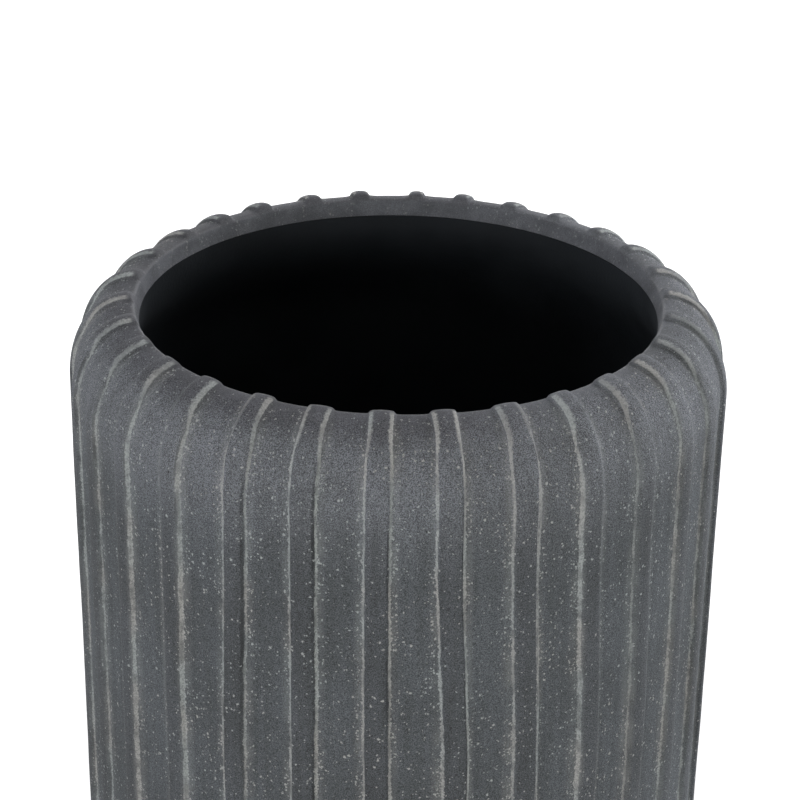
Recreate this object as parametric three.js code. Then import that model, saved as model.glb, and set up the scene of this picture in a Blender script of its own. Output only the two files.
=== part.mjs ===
// A straight floor vase with upright ribs, a rounded shoulder and a wide open mouth.
// Millimetres, +Z up. The origin is on the floor under the middle of the vase, and -Y is its front.
import * as THREE from 'three';

// Overall form
const HEIGHT = 500; // from the floor to the rib tops at the mouth
const BODY_DIAMETER = 300; // across opposite rib tops

// Ribs, whose widths are measured round the straight wall
const RIB_COUNT = 30;
const RIB_TOP_WIDTH = 9;
const RIB_FLANK_WIDTH = 1.5; // the run of one sloping side
const RIB_HEIGHT = 2.6; // above the flutes between the ribs

// Shoulder and mouth, measured in the flutes
const SHOULDER_RUN = 26.4; // from the straight wall in to the crest
const SHOULDER_DROP = 37; // from the crest down to the straight wall
const CREST_ROUND = 1;
const LIP_RUN = 3.6; // from the crest in to the lip's lower edge
const LIP_DROP = 7.8; // from the crest down to the lip's lower edge
const NECK_DROP = 60; // from the lip's lower edge down to the straight inside wall

// Shell
const WALL = 10; // behind a flute
const BASE_THICKNESS = 22;
const FOOT_ROUND = 10; // on the bottom edge outside
const CORNER_ROUND = 14; // between the inside wall and the inside floor

// Sealing coat on the inside
const LINING_THICKNESS = 1;
const LINING_GAP = 0.3;

// Drain hole, in the middle of a sump in the floor, and its rubber plug
const DRAIN_DIAMETER = 22;
const SUMP_DEPTH = 12;
const FINGER_ROOM = 18; // between the plug's flange and the sump's wall
const PLUG_CLEARANCE = 0.3; // between the plug and what it sits in
const PLUG_TAPER = 1; // how much thinner the stem's tip is, on the radius
const PLUG_SHORT = 1; // how far the tip stays above the underside of the base
const FLANGE_OVERLAP = 7;
const FLANGE_THICKNESS = 3;
const GRIP_DIAMETER = 14;
const GRIP_WAIST = 10;
const GRIP_SINK = 1; // how far the grip's top lies below the floor

// Pads under the base
const PAD_COUNT = 4;
const PAD_DIAMETER = 40;
const PAD_THICKNESS = 3;
const PAD_INSET = 8; // from the edge of the flat underside

// How finely round shapes are cut into flats
const ROUND_SIDES = 48;
const PLUG_SIDES = 40;
const PAD_SIDES = 32;
const SHOULDER_STEPS = 8;
const NECK_STEPS = 6;
const SMALL_ARC_STEPS = 3;

// Radii and levels that follow from the sizes above
const bodyRadius = BODY_DIAMETER / 2;
const fluteRadius = bodyRadius - RIB_HEIGHT;
const crestRadius = fluteRadius - SHOULDER_RUN;
const lipRadius = crestRadius - LIP_RUN;
const throatRadius = lipRadius + LINING_GAP + LINING_THICKNESS;
const insideRadius = fluteRadius - WALL;
const drainRadius = DRAIN_DIAMETER / 2;
const flangeRadius = drainRadius + FLANGE_OVERLAP;
const sumpRadius = flangeRadius + FINGER_ROOM + LINING_GAP + LINING_THICKNESS;

const undersideZ = PAD_THICKNESS;
const floorZ = undersideZ + BASE_THICKNESS;
const sumpZ = floorZ - SUMP_DEPTH;
const crestZ = HEIGHT - RIB_HEIGHT;
const shoulderZ = crestZ - SHOULDER_DROP;
const lipZ = crestZ - LIP_DROP;
const wallTopZ = lipZ - NECK_DROP;

const at = (radius, z) => new THREE.Vector2(radius, z);

// Points along an elliptical arc between two angles in degrees, where 0 is outwards and 90 is up.
function arc(centre, reachOut, reachUp, from, to, steps) {
  const start = THREE.MathUtils.degToRad(from);
  const end = THREE.MathUtils.degToRad(to);
  const curve = new THREE.EllipseCurve(centre.x, centre.y, reachOut, reachUp, start, end, to < from);
  return curve.getPoints(steps);
}

// The outside from the drain hole to the lip's lower edge. The lift is 0 in a flute and the rib height on a rib.
function outside(lift) {
  const foot = at(fluteRadius - FOOT_ROUND, undersideZ + FOOT_ROUND);
  const shoulder = at(crestRadius, shoulderZ);
  const crest = at(crestRadius, crestZ - CREST_ROUND);
  const crestArc = arc(crest, CREST_ROUND, CREST_ROUND + lift, 90, 180, SMALL_ARC_STEPS);
  return [
    at(drainRadius, undersideZ),
    ...arc(foot, FOOT_ROUND + lift, FOOT_ROUND, -90, 0, SMALL_ARC_STEPS),
    ...arc(shoulder, SHOULDER_RUN + lift, SHOULDER_DROP + lift, 0, 90, SHOULDER_STEPS),
    ...crestArc.slice(1),
    at(lipRadius, lipZ),
  ];
}

// The hollow's surface from the neck down to the drain hole, moved inwards by an inset.
function inside(inset, topZ) {
  const throat = at(throatRadius - inset, topZ);
  const wallTop = at(insideRadius - inset, wallTopZ);
  const middleZ = (lipZ + wallTopZ) / 2;
  const neck = new THREE.CubicBezierCurve(throat, at(throat.x, middleZ), at(wallTop.x, middleZ), wallTop);
  const corner = at(insideRadius - CORNER_ROUND, floorZ + CORNER_ROUND);
  const cornerReach = CORNER_ROUND - inset;
  return [
    ...neck.getPoints(NECK_STEPS),
    ...arc(corner, cornerReach, cornerReach, 0, -90, SMALL_ARC_STEPS),
    at(sumpRadius - inset, floorZ + inset),
    at(sumpRadius - inset, sumpZ + inset),
    at(drainRadius, sumpZ + inset),
  ];
}

// The angles of one rib's four edges and of the middle of the flute after it, and whether each is raised.
function ribColumns() {
  const halfTop = RIB_TOP_WIDTH / 2 / bodyRadius;
  const halfFoot = halfTop + RIB_FLANK_WIDTH / bodyRadius;
  const pitch = (2 * Math.PI) / RIB_COUNT;
  return [
    { angle: -halfFoot, raised: false },
    { angle: -halfTop, raised: true },
    { angle: halfTop, raised: true },
    { angle: halfFoot, raised: false },
    { angle: pitch / 2, raised: false },
  ];
}

// A turned outline whose columns follow the ribs: raised columns take the rib outline instead of the flute's.
function ribbedLathe(flute, rib) {
  const columns = ribColumns();
  const geometry = new THREE.LatheGeometry(flute, RIB_COUNT * columns.length);
  const position = geometry.attributes.position;
  for (let index = 0; index < position.count; index += 1) {
    const turn = Math.floor(index / flute.length);
    const column = columns[turn % columns.length];
    const ribAngle = (Math.floor(turn / columns.length) * 2 * Math.PI) / RIB_COUNT;
    const angle = ribAngle + column.angle;
    const point = (column.raised ? rib : flute)[index % flute.length];
    position.setXYZ(index, point.x * Math.sin(angle), point.y, point.x * Math.cos(angle));
  }
  geometry.computeVertexNormals();
  return geometry;
}

function named(name, geometry, material) {
  const mesh = new THREE.Mesh(geometry, material);
  mesh.name = name;
  return mesh;
}

// Turned shapes are drawn about +Y, so this stands them up along +Z with their seam at the front.
function stood(geometry) {
  return geometry.rotateX(Math.PI / 2);
}

function ribbedBody() {
  const hollow = inside(0, lipZ);
  const close = at(drainRadius, undersideZ);
  const flute = [...outside(0), ...hollow, close];
  const rib = [...outside(RIB_HEIGHT), ...hollow, close];
  const stone = new THREE.MeshStandardMaterial({ color: 0x5c5d61, roughness: 0.85, metalness: 0 });
  return named('ribbed_body', stood(ribbedLathe(flute, rib)), stone);
}

function innerLining() {
  const topZ = lipZ - LINING_GAP;
  const back = inside(LINING_GAP, topZ).reverse();
  const face = inside(LINING_GAP + LINING_THICKNESS, topZ);
  const profile = [...back, ...face, back[0]];
  const coat = new THREE.MeshStandardMaterial({ color: 0x101011, roughness: 0.45, metalness: 0 });
  return named('inner_lining', stood(new THREE.LatheGeometry(profile, ROUND_SIDES)), coat);
}

function drainPlug() {
  const liningTop = LINING_GAP + LINING_THICKNESS;
  const stemRadius = drainRadius - PLUG_CLEARANCE;
  const flangeZ = sumpZ + liningTop + PLUG_CLEARANCE;
  const flangeTopZ = flangeZ + FLANGE_THICKNESS;
  const gripTopZ = floorZ + liningTop - GRIP_SINK;
  const gripMiddleZ = (flangeTopZ + gripTopZ) / 2;
  const tipZ = undersideZ + PLUG_SHORT;
  const profile = [
    at(0, tipZ),
    at(stemRadius - PLUG_TAPER, tipZ),
    at(stemRadius, flangeZ),
    at(flangeRadius, flangeZ),
    at(flangeRadius, flangeTopZ),
    at(GRIP_DIAMETER / 2, flangeTopZ),
    at(GRIP_WAIST / 2, gripMiddleZ),
    at(GRIP_DIAMETER / 2, gripTopZ),
    at(0, gripTopZ),
  ];
  const rubber = new THREE.MeshStandardMaterial({ color: 0x1b1b1c, roughness: 0.7, metalness: 0 });
  return named('drain_plug', stood(new THREE.LatheGeometry(profile, PLUG_SIDES)), rubber);
}

function footPads() {
  const circle = fluteRadius - FOOT_ROUND - PAD_INSET - PAD_DIAMETER / 2;
  const rubber = new THREE.MeshStandardMaterial({ color: 0x2a2a2b, roughness: 0.9, metalness: 0 });
  const pads = new THREE.Group();
  for (let index = 0; index < PAD_COUNT; index += 1) {
    const angle = ((index + 0.5) * 2 * Math.PI) / PAD_COUNT;
    const profile = [
      at(0, 0),
      at(PAD_DIAMETER / 2, 0),
      at(PAD_DIAMETER / 2, PAD_THICKNESS),
      at(0, PAD_THICKNESS),
    ];
    const pad = named(`foot_pad_${index + 1}`, stood(new THREE.LatheGeometry(profile, PAD_SIDES)), rubber);
    pad.position.set(circle * Math.sin(angle), -circle * Math.cos(angle), 0);
    pads.add(pad);
  }
  return pads;
}

const vase = new THREE.Group();
vase.name = 'vase';
vase.add(ribbedBody(), innerLining(), drainPlug(), footPads());

export default vase;
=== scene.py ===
# %% [markdown]
# # A ribbed floor vase
#
# The real vase is one cast shell: a straight body with upright ribs, a rounded shoulder and a wide mouth.
# Its inside is sealed with a black coat, a rubber plug closes the drain hole, and pads keep it off the
# floor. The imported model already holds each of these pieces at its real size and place. This script keeps
# those places and gives every piece its true surface: wandering ribs, pale rib sides, sandy grain.

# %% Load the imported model
import math
import random
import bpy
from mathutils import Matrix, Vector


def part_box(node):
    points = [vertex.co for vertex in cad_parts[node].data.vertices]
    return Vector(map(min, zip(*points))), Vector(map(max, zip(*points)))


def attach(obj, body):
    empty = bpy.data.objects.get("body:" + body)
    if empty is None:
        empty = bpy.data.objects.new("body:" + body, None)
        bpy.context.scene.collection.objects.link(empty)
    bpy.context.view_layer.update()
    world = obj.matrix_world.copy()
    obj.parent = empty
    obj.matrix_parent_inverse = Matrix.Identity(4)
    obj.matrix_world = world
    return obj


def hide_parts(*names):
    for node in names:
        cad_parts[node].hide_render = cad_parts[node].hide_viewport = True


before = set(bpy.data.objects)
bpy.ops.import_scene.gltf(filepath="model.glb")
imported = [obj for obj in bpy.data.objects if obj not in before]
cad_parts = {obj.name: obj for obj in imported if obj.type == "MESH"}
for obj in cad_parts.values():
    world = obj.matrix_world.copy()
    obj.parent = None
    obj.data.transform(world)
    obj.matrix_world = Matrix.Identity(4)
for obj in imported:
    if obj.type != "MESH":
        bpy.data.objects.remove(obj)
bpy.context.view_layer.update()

from types import SimpleNamespace

import bmesh
import bpy
from mathutils import Matrix, Vector, noise

# %% [markdown]
# ## Sizes
#
# The outer sizes are read from the imported model, so a changed model moves everything here too. The finer
# sizes, such as the ribs and the lip, are the ones that the solids were drawn with. Only the crest is a
# little rounder here, as it is on the real vase. All are in metres, and MM keeps them readable.

# %% Sizes of the shell
MM = 0.001
RIB_COUNT = 30
RIB_TOP = 9.0 * MM  # width of a rib's top
RIB_FLANK = 1.5 * MM  # run of one sloping side
RIB_HEIGHT = 2.6 * MM  # above the flutes between the ribs
SHOULDER_RUN = 26.4 * MM  # from the straight wall in to the crest
SHOULDER_DROP = 37 * MM  # from the crest down to the straight wall
CREST_ROUND = 2.0 * MM
LIP_RUN = 3.6 * MM  # from the crest in to the lip's lower edge
LIP_DROP = 7.8 * MM  # from the crest down to the lip's lower edge
NECK_DROP = 60 * MM  # from the lip's lower edge down to the straight inside wall
WALL = 10 * MM  # behind a flute
BASE_THICKNESS = 22 * MM
FOOT_ROUND = 10 * MM  # on the bottom edge outside
CORNER_ROUND = 14 * MM  # between the inside wall and the inside floor
LINING_THICKNESS = 1.0 * MM
LINING_GAP = 0.3 * MM  # between the sealing coat and the clay
DRAIN_RADIUS = 11 * MM
SUMP_DEPTH = 12 * MM  # of the round hollow in the floor that holds the plug
SUMP_RADIUS = 37.3 * MM

body_low, body_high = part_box("ribbed_body")
body_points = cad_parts["ribbed_body"].data.vertices
body_radius = max(point.co.xy.length for point in body_points)
flute_radius = body_radius - RIB_HEIGHT
crest_radius = flute_radius - SHOULDER_RUN
lip_radius = crest_radius - LIP_RUN
throat_radius = lip_radius + LINING_GAP + LINING_THICKNESS
inside_radius = flute_radius - WALL
underside_z = body_low.z
floor_z = underside_z + BASE_THICKNESS
crest_z = body_high.z - RIB_HEIGHT
shoulder_z = crest_z - SHOULDER_DROP
lip_z = crest_z - LIP_DROP
wall_top_z = lip_z - NECK_DROP
print(f"body radius {body_radius:.4f}, mouth radius {lip_radius:.4f}, top at {body_high.z:.4f}")

# %% [markdown]
# ## Outlines for turned pieces
#
# A pot is a turned shape. It could be pushed into form from a cylinder, but then its radii would be hard to
# hold. So every turned piece here starts as an outline of a few points in a vertical plane, and the spin
# operator turns it round the axis. Round stretches of an outline come from an arc formula.

# %% Outline helpers
def arc(centre, reach, start, end, steps):
    """Points along an elliptical arc between two angles in degrees: 0 is outwards and 90 is up."""
    points = []
    for step in range(steps + 1):
        angle = math.radians(start + (end - start) * step / steps)
        points.append((centre[0] + reach[0] * math.cos(angle), centre[1] + reach[1] * math.sin(angle)))
    return points


def line(start, end, spacing):
    """Points between two places, without the places themselves, about one spacing apart."""
    length = math.dist(start, end)
    count = max(1, round(length / spacing))
    return [
        tuple(a + (b - a) * step / count for a, b in zip(start, end))
        for step in range(1, count)
    ]


def smooth(value):
    """A soft step from 0 to 1."""
    value = min(1.0, max(0.0, value))
    return value * value * (3 - 2 * value)


print("points on a quarter arc in four steps:", len(arc((0, 0), (1, 1), 0, 90, 4)))

# %% Outline of the hollow
def neck_curve(top, bottom, steps):
    """Points of the neck: straight down at both ends, and swelling out between them."""
    middle_z = (lip_z + wall_top_z) / 2
    points = []
    for step in range(steps + 1):
        t = step / steps
        radius = top[0] + (bottom[0] - top[0]) * smooth(t)
        height = top[1] * (1 - t) ** 3 + 3 * middle_z * t * (1 - t) + bottom[1] * t ** 3
        points.append((radius, height))
    return points


def hollow_outline(inset, top_z, steps):
    """The hollow's surface from the lip down to the drain hole, moved inwards by an inset."""
    corner = (inside_radius - CORNER_ROUND, floor_z + CORNER_ROUND)
    corner_reach = (CORNER_ROUND - inset, CORNER_ROUND - inset)
    sump_z = floor_z - SUMP_DEPTH + inset
    return [
        *neck_curve((throat_radius - inset, top_z), (inside_radius - inset, wall_top_z), 2 * steps),
        *arc(corner, corner_reach, 0, -90, steps),
        (SUMP_RADIUS - inset, floor_z + inset),
        (SUMP_RADIUS - inset, sump_z),
        (DRAIN_RADIUS, sump_z),
    ]


print(f"hollow: {2 * throat_radius:.4f} metres wide at the neck and {2 * inside_radius:.4f} below it")

# %% [markdown]
# ## The ribbed shell
#
# The shell could be a smooth pot with thirty separate bars, but the real ribs grow out of the same cast and
# meet it in small round corners. So one outline is spun with twenty columns for each rib. The columns then
# slide sideways to crowd along the rib's sides, and those on a rib move out along the surface. Towards the
# mouth a rib ends in a round nose.

# %% Outline of the shell
WALL_ROW = 5 * MM  # between rows of points on the straight wall
LIP_ROW = 2.5 * MM
SHOULDER_ROWS = 30
FOOT_ROWS = 6
CREST_ROWS = 5
CREST_END = 165  # degrees at which the crest's arc gives way to the straight lip
HOLLOW_ROWS = 4
NOSE = 3.5 * MM  # over which a rib ends before the lip


def nose_rises(bend):
    """How far a rib rises at each point of a bend: in full, but less and less along the nose at its end."""
    to_end = [0.0]
    for here, there in zip(bend[:0:-1], bend[-2::-1]):
        to_end.append(to_end[-1] + math.dist(here, there))
    return [smooth(gap / NOSE) for gap in reversed(to_end)]


def shell_outline():
    """Points of the flutes' outline, with how far a rib rises at each: none under the foot or on the lip."""
    foot_centre = (flute_radius - FOOT_ROUND, underside_z + FOOT_ROUND)
    crest_centre = (crest_radius, crest_z - CREST_ROUND)
    foot = arc(foot_centre, (FOOT_ROUND, FOOT_ROUND), -90, 0, FOOT_ROWS)
    foot_rises = [math.sin(math.pi / 2 * row / FOOT_ROWS) for row in range(FOOT_ROWS + 1)]
    shoulder = arc((crest_radius, shoulder_z), (SHOULDER_RUN, SHOULDER_DROP), 0, 90, SHOULDER_ROWS)
    crest = arc(crest_centre, (CREST_ROUND, CREST_ROUND), 90, CREST_END, CREST_ROWS)
    bend = shoulder + crest[1:]
    lip_edge = (lip_radius, lip_z)
    smooth_part = [*line(crest[-1], lip_edge, LIP_ROW), lip_edge, *hollow_outline(0.0, lip_z, HOLLOW_ROWS)]

    points = [(DRAIN_RADIUS, underside_z, 0.0)]
    points += [(r, z, rise) for (r, z), rise in zip(foot, foot_rises)]
    points += [(r, z, 1.0) for r, z in line(foot[-1], shoulder[0], WALL_ROW)]
    points += [(r, z, rise) for (r, z), rise in zip(bend, nose_rises(bend))]
    points += [(r, z, 0.0) for r, z in smooth_part]
    return points


outline = shell_outline()
print("shell outline:", len(outline), "points")

# %% [markdown]
# ### Spinning the outline
#
# A point of an outline may carry a third number, how far a rib rises there. It is stored on the mesh as the
# number ribbed, and stays with the point through the spin. The columns stand evenly at first. STATIONS says
# where half of a rib's columns go later: -1 is the rib's middle line, 0 its edge, 1 the foot of its side and
# 2 the middle of the flute.

# %% Spin the shell
STATIONS = (-1.0, -0.6, -0.25, 0.05, 0.3, 0.55, 0.8, 1.0, 1.15, 1.4, 2.0)
HALF_RIB = len(STATIONS) - 1
COLUMNS = 2 * HALF_RIB * RIB_COUNT
MERGE_DISTANCE = 0.001 * MM


def turned(points, columns, closed):
    """Spin an outline of (radius, height) points round the vertical axis, starting at the front."""
    bm = bmesh.new()
    ribbed = bm.verts.layers.float.new("ribbed")
    ring = []
    for radius, height, *rise in points:
        vert = bm.verts.new((0, -radius, height))
        vert[ribbed] = rise[0] if rise else 0.0
        ring.append(vert)
    edges = [bm.edges.new(pair) for pair in zip(ring, ring[1:])]
    if closed:
        edges.append(bm.edges.new((ring[-1], ring[0])))
    bmesh.ops.spin(
        bm, geom=ring + edges, cent=(0, 0, 0), axis=(0, 0, 1), angle=math.tau, steps=columns, use_merge=True
    )
    bmesh.ops.remove_doubles(bm, verts=bm.verts, dist=MERGE_DISTANCE)
    bmesh.ops.recalc_face_normals(bm, faces=bm.faces)
    return bm


shell_mesh = turned(outline, COLUMNS, closed=True)
print("spun shell:", COLUMNS, "columns,", len(shell_mesh.verts), "vertices")

# %% [markdown]
# ### Ribs that were finished by hand
#
# On the real vase no two ribs are alike. Each lies a little off its even place, more so lower down, and has
# its own width and height. The drifts below are in millimetres, for the ribs from the front round by the
# right, once at the shoulder and once low on the wall. Each rib also carries its own amount of pale bloom,
# where -0.3 is almost none. What isn't listed is drawn at random, with a fixed seed. All of this could be
# modelled rib by rib, but a short list with a formula is easier to change.

# %% Drift, width, height and bloom of each rib
RIB_DRIFT = {
    0: (0, 1), 1: (-0.5, 4), 2: (1, 5), 3: (1, 6), 4: (1, 5), 5: (1, 2.5), 6: (-2, -1.5),
    10: (2, 1), 11: (1.5, -0.5), 12: (2, 0.5), 13: (2, 1), 14: (1.5, -0.5), 15: (-2, -1), 17: (-1.5, -0.5),
    19: (-2, -1), 20: (-3, -1), 21: (-1, 0.5), 25: (-2.5, -3), 26: (-4, -5), 27: (-2.5, -3), 28: (0, -2),
}
RIB_BLOOM = {
    25: 0.2, 26: 0.9, 27: 0.9, 28: 0.2, 29: 0.4, 0: 0.4, 1: 0.4, 2: 0.15, 3: 0.7, 4: 0.0, 5: 0.3, 7: -0.3,
}
PITCH = math.tau / RIB_COUNT
RIB_SEED = 11
WIDTH_RANGE = (0.94, 1.08)
HEIGHT_RANGE = (0.9, 1.08)
BLOOM_RANGE = (0.1, 1.0)
MEAN_WIDTH = 0.9
FRONT_WIDTH_GAIN = 0.1  # ribs in front are wider by this, and those at the back narrower

draw = random.Random(RIB_SEED)
rib_width = []
for rib in range(RIB_COUNT):
    by_place = MEAN_WIDTH + FRONT_WIDTH_GAIN * math.cos(rib * PITCH)
    rib_width.append(draw.uniform(*WIDTH_RANGE) * by_place)
rib_height = [draw.uniform(*HEIGHT_RANGE) for rib in range(RIB_COUNT)]
drawn_bloom = [draw.uniform(*BLOOM_RANGE) for rib in range(RIB_COUNT)]
rib_bloom = [RIB_BLOOM.get(rib, drawn_bloom[rib]) for rib in range(RIB_COUNT)]
print(f"rib widths from {min(rib_width):.2f} to {max(rib_width):.2f} of the even width")

# %% [markdown]
# ### Where the lines of a rib run
#
# Slow noise makes the edges of a rib wander. For each line of a rib, WANDER gives its own place in the
# noise, how far it wanders and how many waves there are in a metre. The middle line wanders in millimetres,
# and the others as a share of their size. Ribs in front keep their width up to the mouth, and those at the
# back narrow as the shoulder closes.

# %% Lines of a rib
WANDER = {"middle": (7, 0.3, 12), "edge": (0, 0.07, 30), "foot": (11, 0.3, 55), "top": (3, 0.1, 14)}
RIB_STRIDE = 3.71  # step through the noise from rib to rib
SIDE_STRIDE = 5.3  # step through the noise from line to line
NOISE_START = 0.5
LEAN_TOP = shoulder_z - 10 * MM  # a rib leans from its upper to its lower drift between these heights
LEAN_BOTTOM = shoulder_z - 130 * MM
FRONT_MARGIN = 0.3  # lets ribs a little behind the sides keep some of their width too


def wander(which, rib, side, height):
    """A slow repeatable wander along one line of a rib."""
    place, reach, waves = WANDER[which]
    spot = Vector((rib * RIB_STRIDE + NOISE_START, (place + side) * SIDE_STRIDE, height * waves))
    return reach * noise.noise(spot)


def rib_middle(rib, height):
    """Angle of a rib's middle line at a height, with its drift."""
    low = smooth((LEAN_TOP - height) / (LEAN_TOP - LEAN_BOTTOM))
    drift_high, drift_low = RIB_DRIFT.get(rib, (0, 0))
    drift = drift_high + (drift_low - drift_high) * low + wander("middle", rib, 0, height)
    return rib * PITCH + drift * MM / body_radius


def widening(rib, height):
    """How much more of the turn a rib takes up on the shoulder, so that it keeps its width there."""
    up = min(1.0, max(0.0, (height - shoulder_z) / SHOULDER_DROP))
    radius = crest_radius + SHOULDER_RUN * math.sqrt(1 - up * up)
    in_front = smooth(math.cos(rib * PITCH) + FRONT_MARGIN)
    return 1 + (flute_radius / radius - 1) * in_front


def column_angle(rib, side, step, height):
    """Angle of one column of a rib: on its top, down its side or out to the middle of the flute."""
    middle = rib_middle(rib, height)
    per_width = widening(rib, height) / body_radius
    edge = RIB_TOP / 2 * rib_width[rib] * (1 + wander("edge", rib, side, height)) * per_width
    foot = edge + RIB_FLANK * (1 + wander("foot", rib, side, height)) * per_width
    flute = abs((rib + side / 2) * PITCH - middle)
    if step <= 0:
        turn = edge * (1 + step)
    elif step <= 1:
        turn = edge + (foot - edge) * step
    else:
        turn = foot + (flute - foot) * (step - 1)
    return middle + side * turn


print("rib pitch on the wall:", round(PITCH * body_radius / MM, 1), "mm")

# %% [markdown]
# ### The section through a rib
#
# A rib has a crowned top, a round edge, a steep side and a soft foot. Its side is steep on the wall and gets
# softer towards the mouth, where the real ribs are worn round. Two soft steps, one steep and one gentle, are
# mixed for that.

# %% Section of a rib
CROWN = 0.18  # how much lower the edge is than the middle, as a share of the rib height
SOFT_ON_WALL = 0.06
SOFT_AT_CREST = 0.4
SOFT_BELOW = 20 * MM  # under the shoulder, where the softening starts
STEEP_START = -0.15  # where each step starts and how long both are, on the scale of STATIONS
GENTLE_START = 0.3
SIDE_RUN = 1.2


def rib_profile(step, height):
    """Share of the rib height across a rib."""
    crown = 1 - CROWN * (1 + min(step, 0.0)) ** 2
    near_crest = smooth((height - shoulder_z + SOFT_BELOW) / (crest_z - shoulder_z))
    soft = SOFT_ON_WALL + SOFT_AT_CREST * near_crest
    steep = 1 - smooth((step - STEEP_START) / SIDE_RUN)
    gentle = 1 - smooth((step - GENTLE_START) / SIDE_RUN)
    return crown * ((1 - soft) * steep + soft * gentle)


across = [round(rib_profile(step, shoulder_z), 2) for step in STATIONS]
print("share of the rib height from a rib's middle to the flute's:", across)

# %% [markdown]
# ### Carving the ribs
#
# Each point of the spun shell belongs to a column of one rib. It is lifted along its normal by the
# section's height, and then turned round the axis to where its column runs. Bars that are joined on would
# need a cut along every foot. The finish has to know afterwards where on a rib it is, so five more numbers
# are stored on the points beside ribbed: rib_step is the column's station, sandy fades to 0 on the lip more
# slowly than ribbed, to_front is above 0 on sides that face the front, rightward is 1 on right sides, and
# plenty is the rib's amount of bloom.

# %% Place of a point
MARKS = ("rib_step", "sandy", "to_front", "rightward", "plenty")
SMOOTH_EDGE = 10 * MM  # outside the crest, over which the sandy grain sets in
BLOOM_TURN = 20 * MM  # above the straight wall, over which the bloom turns with the ribs
FACING_GAIN = 2


def column_of(turn):
    """The rib, the side of it and the station that a spun column belongs to. Side 1 is the right one."""
    column = round(turn / math.tau * COLUMNS) % COLUMNS
    rib, place = divmod(column, 2 * HALF_RIB)
    if place <= HALF_RIB:
        return rib, 1, STATIONS[place]
    return (rib + 1) % RIB_COUNT, -1, STATIONS[2 * HALF_RIB - place]


def facing(rib, height):
    """1 where the bloom faces the front. Below the shoulder it turns with the ribs, to -1 at the back."""
    low = smooth((shoulder_z + BLOOM_TURN - height) / BLOOM_TURN)
    turned_to = min(1.0, max(-1.0, FACING_GAIN * math.cos(rib * PITCH)))
    return 1 + (turned_to - 1) * low


def rib_marks(vert, rise, rib, side, step):
    """The numbers that a point stores for the finish, in the order of MARKS."""
    sandy = rise * smooth((vert.co.xy.length - crest_radius) / SMOOTH_EDGE)
    to_front = -side * math.sin(rib * PITCH) * facing(rib, vert.co.z)
    return step, sandy, to_front, max(side, 0), rib_bloom[rib]


print("the first column belongs to rib, side and station", column_of(0.0))

# %% Lift and turn the points
UNEVEN = 0.2 * MM  # of the cast surface
UNEVEN_WAVES = 45  # in a metre
UNEVEN_LEAST = 0.2  # share of it that is left where there are no ribs


def rib_lift(vert, rise, rib, step):
    """How far a point moves out: the rib's height there, and a little unevenness of the cast."""
    height = vert.co.z
    uneven = 1 + wander("top", rib, 0, height)
    lift = RIB_HEIGHT * rib_height[rib] * uneven * rise * rib_profile(step, height)
    if height > underside_z + MM:
        lift += UNEVEN * noise.noise(vert.co * UNEVEN_WAVES) * min(1.0, rise + UNEVEN_LEAST)
    return lift


def way_out(vert):
    """The direction of a lift: along the normal, but only upwards where that leans into the mouth."""
    outward = vert.normal.copy()
    if vert.co.z > shoulder_z and outward.xy.dot(vert.co.xy) < 0:
        outward.xy = 0, 0
    return outward


def carve_ribs(bm):
    """Mark every point, lift it and turn it to where its column runs."""
    ribbed = bm.verts.layers.float["ribbed"]
    layers = [bm.verts.layers.float.new(name) for name in MARKS]
    bm.normal_update()
    for vert in bm.verts:
        turn = math.atan2(vert.co.x, -vert.co.y)
        rib, side, step = column_of(turn)
        rise = vert[ribbed]
        for layer, value in zip(layers, rib_marks(vert, rise, rib, side, step)):
            vert[layer] = value
        angle = column_angle(rib, side, step, vert.co.z)
        vert.co += way_out(vert) * rib_lift(vert, rise, rib, step)
        vert.co = Matrix.Rotation(angle - turn, 3, "Z") @ vert.co


carve_ribs(shell_mesh)
print("carved shell: top at", round(max(vert.co.z for vert in shell_mesh.verts), 4))

# %% [markdown]
# ## Small tools for node materials
#
# Materials are node trees. Writing every node and link out in full hides what a material does, so one
# helper adds a node and fills its sockets: a value is typed into a socket, and another node's output is
# linked to it. The others each stand for one kind of node.

# %% Adding nodes
def fill(tree, socket, value):
    """Type a value into a socket, or link another node's output to it."""
    if isinstance(value, bpy.types.NodeSocket):
        tree.links.new(value, socket)
    else:
        socket.default_value = value


def add_node(tree, kind, sockets=None, **settings):
    """Add a node, set its options, then fill its input sockets."""
    node = tree.nodes.new(kind)
    for option, value in settings.items():
        setattr(node, option, value)
    for key, value in (sockets or {}).items():
        fill(tree, node.inputs[key], value)
    return node


def new_material(name):
    """A material with a Principled shader, and its tree and shader at hand."""
    material = bpy.data.materials.new(name)
    material.use_nodes = True
    tree = material.node_tree
    return material, tree, tree.nodes["Principled BSDF"]


print("kinds of shader node:", sum(name.startswith("ShaderNode") for name in dir(bpy.types)))

# %% Numbers and masks
def maths(tree, operation, *values):
    """One arithmetic step on two or three values."""
    node = add_node(tree, "ShaderNodeMath", dict(enumerate(values)), operation=operation)
    return node.outputs[0]


def product(tree, *values):
    """Several masks multiplied together."""
    result = values[0]
    for value in values[1:]:
        result = maths(tree, "MULTIPLY", result, value)
    return result


def window(tree, value, low, high, to_low=0.0, to_high=1.0):
    """Map a value smoothly from one range to another, held at the ends."""
    sockets = {"Value": value, "From Min": low, "From Max": high, "To Min": to_low, "To Max": to_high}
    node = add_node(tree, "ShaderNodeMapRange", sockets, interpolation_type="SMOOTHSTEP", clamp=True)
    return node.outputs["Result"]


def between(tree, mask, first, second):
    """A number that goes softly from one value to another as a mask goes from 0 to 1."""
    return window(tree, mask, 0.0, 1.0, first, second)


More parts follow.
